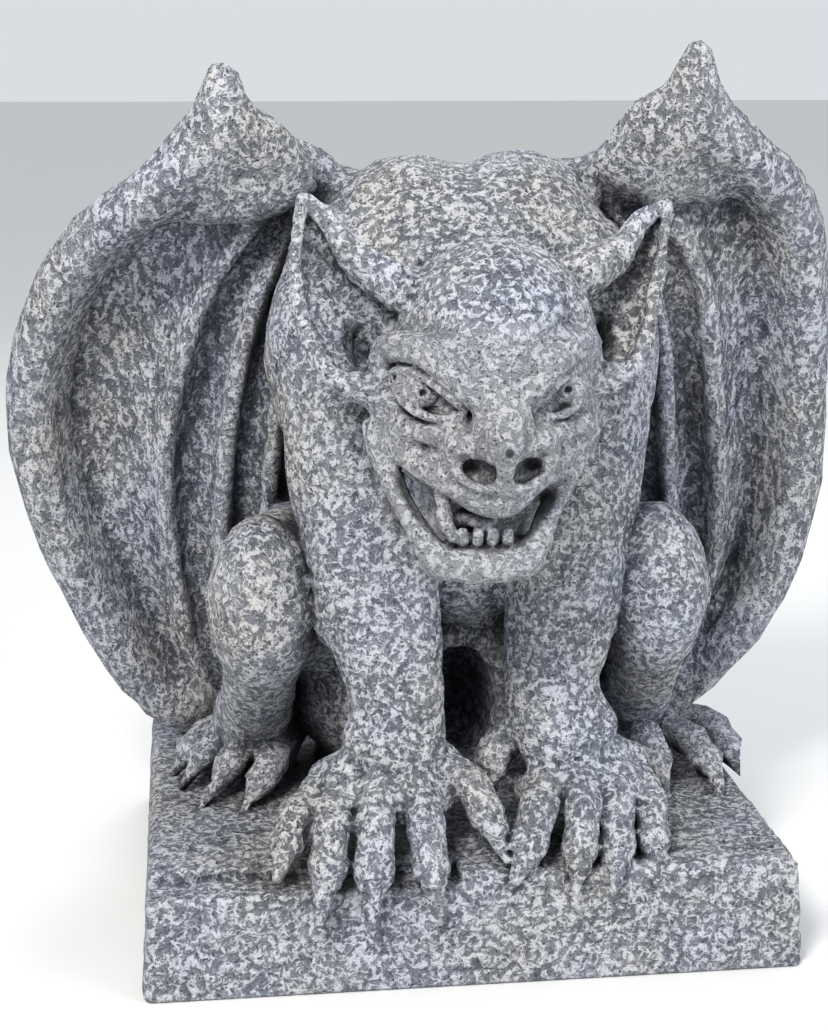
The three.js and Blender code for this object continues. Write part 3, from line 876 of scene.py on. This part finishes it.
def addAttribute(mesh, name, values):
    layer = mesh.attributes.new(name, "FLOAT", "POINT")
    layer.data.foreach_set("value", values.astype(np.float32))


def readPoints(mesh):
    at = np.empty(len(mesh.vertices) * 3, np.float32)
    mesh.vertices.foreach_get("co", at)
    return at.reshape(-1, 3)


def recessAttributes(mesh, field):
    # Share of stone in a small, a wide and a deep box just off the surface: near 0 on open
    # ground, near 1 in a deep hollow.
    at = readPoints(mesh) / mm
    addAttribute(mesh, "face", faceShare(at))
    addAttribute(mesh, "wing", wingShare(at))
    normal = np.empty(at.size, np.float32)
    mesh.vertices.foreach_get("normal", normal)
    normal = normal.reshape(-1, 3)
    solid = np.clip(0.5 - field["values"] / (2 * field["voxel"]), 0, 1)
    reaches = (("nearRecess", 3.0, 1.2), ("wideRecess", 13.0, 9.0), ("deepRecess", 38.0, 24.0))
    for name, size, off in reaches:
        half = max(1, round(size / field["voxel"] / 2))
        blurred = boxBlur(boxBlur(solid, half), half)
        addAttribute(mesh, name, sample(field, at + off * normal, blurred))


recessAttributes(gargoyle.data, field)
print("attributes ready")


def fitToFrame(mesh, low, high):
    # The relief stands a millimetre proud of the forms; one even stretch along each axis
    # brings the skin back to the solid's box.
    at = readPoints(mesh)
    size = (high - low) / (at.max(0) - at.min(0))
    at = low + (at - at.min(0)) * size
    mesh.vertices.foreach_set("co", at.astype(np.float32).ravel())
    mesh.update()


fitToFrame(gargoyle.data, np.array(cadBounds[0]), np.array(cadBounds[1]))

# Finish.


def linear(hexColour):
    # sRGB hex to linear RGBA: ((c + 0.055) / 1.055) ^ 2.4 above the toe.
    channels = [int(hexColour[i : i + 2], 16) / 255 for i in (1, 3, 5)]
    return (*[c / 12.92 if c <= 0.04045 else ((c + 0.055) / 1.055) ** 2.4 for c in channels], 1)


def addNode(tree, kind, settings=None, **sockets):
    # A node with its settings; each socket takes a value or another node's output.
    made = tree.nodes.new("ShaderNode" + kind)
    for key, value in (settings or {}).items():
        setattr(made, key, value)
    for key, value in sockets.items():
        index = int(key[3:]) if key.startswith("at_") else key.replace("_", " ")
        socket = made.inputs[index]
        if isinstance(value, bpy.types.NodeSocket):
            tree.links.new(value, socket)
        else:
            socket.default_value = value
    return made


def rampOf(tree, factor, stops, interpolation="LINEAR"):
    made = addNode(tree, "ValToRGB", Fac=factor)
    made.color_ramp.interpolation = interpolation
    ramp = made.color_ramp.elements
    while len(ramp) < len(stops):
        ramp.new(0.5)
    for element, (place, colour) in zip(ramp, stops):
        element.position = place
        element.color = colour
    return made.outputs["Color"]


grey = lambda value: (value, value, value, 1)


def castStone():
    # Poured cement mix, stained blue-grey and dry-brushed pale: a torn net of light crests over
    # mid grey cells with small dark pits, grainy and dull; painted shade darkens it to near-black in the
    # hollows.
    made = bpy.data.materials.new("cast_stone")
    made.use_nodes = True
    tree = made.node_tree
    tree.nodes.clear()
    size = lambda millimetres: 1 / (millimetres * mm)
    output = lambda kind, name, settings=None, **sockets: addNode(
        tree, kind, settings, **sockets
    ).outputs[name]
    sum2 = lambda a, scale, b: output(
        "Math", 0, {"operation": "MULTIPLY_ADD"}, at_0=a, at_1=scale, at_2=b
    )
    mix = lambda kind, share, a, b: output(
        "Mix", 2, {"data_type": "RGBA", "blend_type": kind}, at_0=share, at_6=a, at_7=b
    )
    read = lambda name: output("Attribute", "Fac", {"attribute_name": name})
    noise = lambda at, millimetres, detail, rough: output(
        "TexNoise", "Fac", Vector=at, Scale=size(millimetres), Detail=detail, Roughness=rough
    )
    net = lambda at, millimetres: output(
        "TexVoronoi", "Distance", {"feature": "DISTANCE_TO_EDGE"}, Vector=at, Scale=size(millimetres)
    )

    place = output("TexCoord", "Object")
    warp = output("TexNoise", "Color", Vector=place, Scale=size(5), Detail=3.0)
    bent = output(
        "VectorMath", 0, {"operation": "MULTIPLY_ADD"}, at_0=warp, at_1=(0.006,) * 3, at_2=place
    )
    # On the wings the marks run downwards: the pattern there is drawn out along Z.
    drawn = output("Mapping", 0, Vector=bent, Scale=(1, 1, 0.5))
    share = read("wing")
    blotch = output(
        "Mix", 0, at_0=share, at_2=noise(bent, 3.3, 4.0, 0.62), at_3=noise(drawn, 3.0, 4.0, 0.62)
    )
    patch = noise(place, 20, 3.0, 0.6)
    grain = noise(place, 1.3, 3.0, 0.7)
    vein = rampOf(tree, net(bent, 3.4), [(0.02, grey(1)), (0.17, grey(0))])
    hair = rampOf(tree, net(bent, 1.9), [(0.03, grey(1)), (0.2, grey(0))])
    near, wide, deep = read("nearRecess"), read("wideRecess"), read("deepRecess")
    crest = rampOf(tree, near, [(0.22, grey(1)), (0.4, grey(0))])

    # The brushed paint follows height: crests and veins first, cells last.
    lift = sum2(hair, 0.04, sum2(vein, 0.08, blotch))
    paint = sum2(crest, 0.16, sum2(patch, 0.28, sum2(lift, 1.0, -0.245)))
    tone = rampOf(
        tree,
        paint,
        [
            (0.34, linear("#51545c")),
            (0.45, linear("#73767f")),
            (0.535, linear("#8a8d95")),
            (0.585, linear("#a7aab0")),
            (0.7, linear("#c6c7ca")),
        ],
    )
    pits = output(
        "TexVoronoi", "Distance", {"feature": "F1"}, Vector=bent, Scale=size(3), Randomness=1.0
    )
    pit = rampOf(tree, pits, [(0.12, grey(0.85)), (0.24, grey(0))])
    cloud = noise(place, 60, 3.0, 0.5)
    warm = rampOf(tree, cloud, [(0.38, linear("#eef1fb")), (0.66, linear("#f2f0ea"))])
    colour = mix("MULTIPLY", 1.0, tone, warm)
    smooth = sum2(read("face"), 0.6, 0.0)
    colour = mix("MIX", smooth, colour, linear("#a2a4a9"))
    colour = mix("MIX", pit, colour, linear("#44464d"))
    speck = rampOf(tree, grain, [(0.36, grey(0.6)), (0.52, grey(1))])
    colour = mix("MULTIPLY", 0.8, colour, speck)
    # Painted shade: the colour is multiplied darker where the wide recess attribute finds stone close
    # around the surface.
    shade = rampOf(tree, wide, [(0.12, grey(1)), (0.46, grey(0.66))])
    colour = mix("MULTIPLY", 1.0, colour, shade)
    # Painted shade: tight creases found by the near recess attribute, a little more on the face, go
    # towards near-black.
    creaseShadeLevel = sum2(read("face"), 0.04, near)
    hollow = rampOf(tree, creaseShadeLevel, [(0.4, grey(0)), (0.455, grey(0.5)), (0.52, grey(0.95))])
    colour = mix("MIX", hollow, colour, linear("#303238"))
    # Painted shade: wide hollows and deep pockets found by the wide and deep recess attributes go
    # near-black.
    cave = rampOf(tree, wide, [(0.42, grey(0)), (0.72, grey(0.95))])
    colour = mix("MIX", cave, colour, linear("#1c1d21"))
    pocket = rampOf(tree, deep, [(0.3, grey(0)), (0.62, grey(0.85))])
    colour = mix("MIX", pocket, colour, linear("#1c1d21"))

    flake = rampOf(tree, lift, [(0.38, grey(0)), (0.5, grey(0.35)), (0.57, grey(0.85)), (0.75, grey(1))])
    height = sum2(pit, -0.45, sum2(grain, 0.5, flake))
    bump = output("Bump", "Normal", Strength=1.0, Distance=0.0018, Height=height)
    shader = addNode(tree, "BsdfPrincipled", Base_Color=colour, Roughness=0.88, Normal=bump)
    shader.inputs["Specular IOR Level"].default_value = 0.25
    addNode(tree, "OutputMaterial", Surface=shader.outputs[0])
    return made


gargoyle.data.materials.clear()
gargoyle.data.materials.append(castStone())
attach(gargoyle, "root")
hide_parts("gargoyle")

# Floor, lights, camera.


def floorMaterial():
    # Matt pale studio paper.
    made = bpy.data.materials.new("studio_paper")
    made.use_nodes = True
    shader = made.node_tree.nodes["Principled BSDF"]
    shader.inputs["Base Color"].default_value = linear("#dededd")
    shader.inputs["Roughness"].default_value = 0.95
    return made


def studioFloor():
    half = 20000
    corners = np.array([(-half, -half, 0), (half, -half, 0), (half, half, 0), (-half, half, 0)], float)
    made = bpy.data.objects.new("floor", meshOf("floor", corners, np.array([[0, 1, 2, 3]])))
    made.data.materials.append(floorMaterial())
    bpy.context.scene.collection.objects.link(made)


def pointAt(thing, target):
    thing.rotation_euler = (Vector(target) - thing.location).to_track_quat("-Z", "Y").to_euler()


def areaLight(name, place, size, watts, colour):
    light = bpy.data.lights.new(name, "AREA")
    light.shape = "DISK"
    light.size = size
    light.energy = watts
    light.color = linear(colour)[:3]
    made = bpy.data.objects.new(name, light)
    made.location = place
    bpy.context.scene.collection.objects.link(made)
    pointAt(made, (0, 0, 0.22))


def studioLights():
    areaLight("key", (-0.6, -1.1, 1.3), 0.45, 28, "#fffbf5")
    areaLight("fill", (1.2, -1.1, 0.7), 1.0, 12, "#f2f6ff")
    areaLight("back", (0.4, 1.2, 1.1), 0.8, 8, "#ffffff")
    world = bpy.data.worlds.new("studio")
    bpy.context.scene.world = world
    world.use_nodes = True
    sky = world.node_tree.nodes["Background"]
    sky.inputs["Color"].default_value = linear("#e9edf2")
    sky.inputs["Strength"].default_value = 0.86


def studioCamera():
    lens = bpy.data.cameras.new("camera")
    lens.sensor_fit = "VERTICAL"
    lens.sensor_height = 36
    lens.lens = 66.34
    made = bpy.data.objects.new("camera", lens)
    made.location = (-0.124, -0.890, 0.401)
    made.rotation_euler = (math.radians(76.6), 0, math.radians(-7))
    bpy.context.scene.collection.objects.link(made)
    bpy.context.scene.camera = made


studioFloor()
studioLights()
studioCamera()
bpy.context.scene.view_settings.view_transform = "Standard"

print("scene ready")
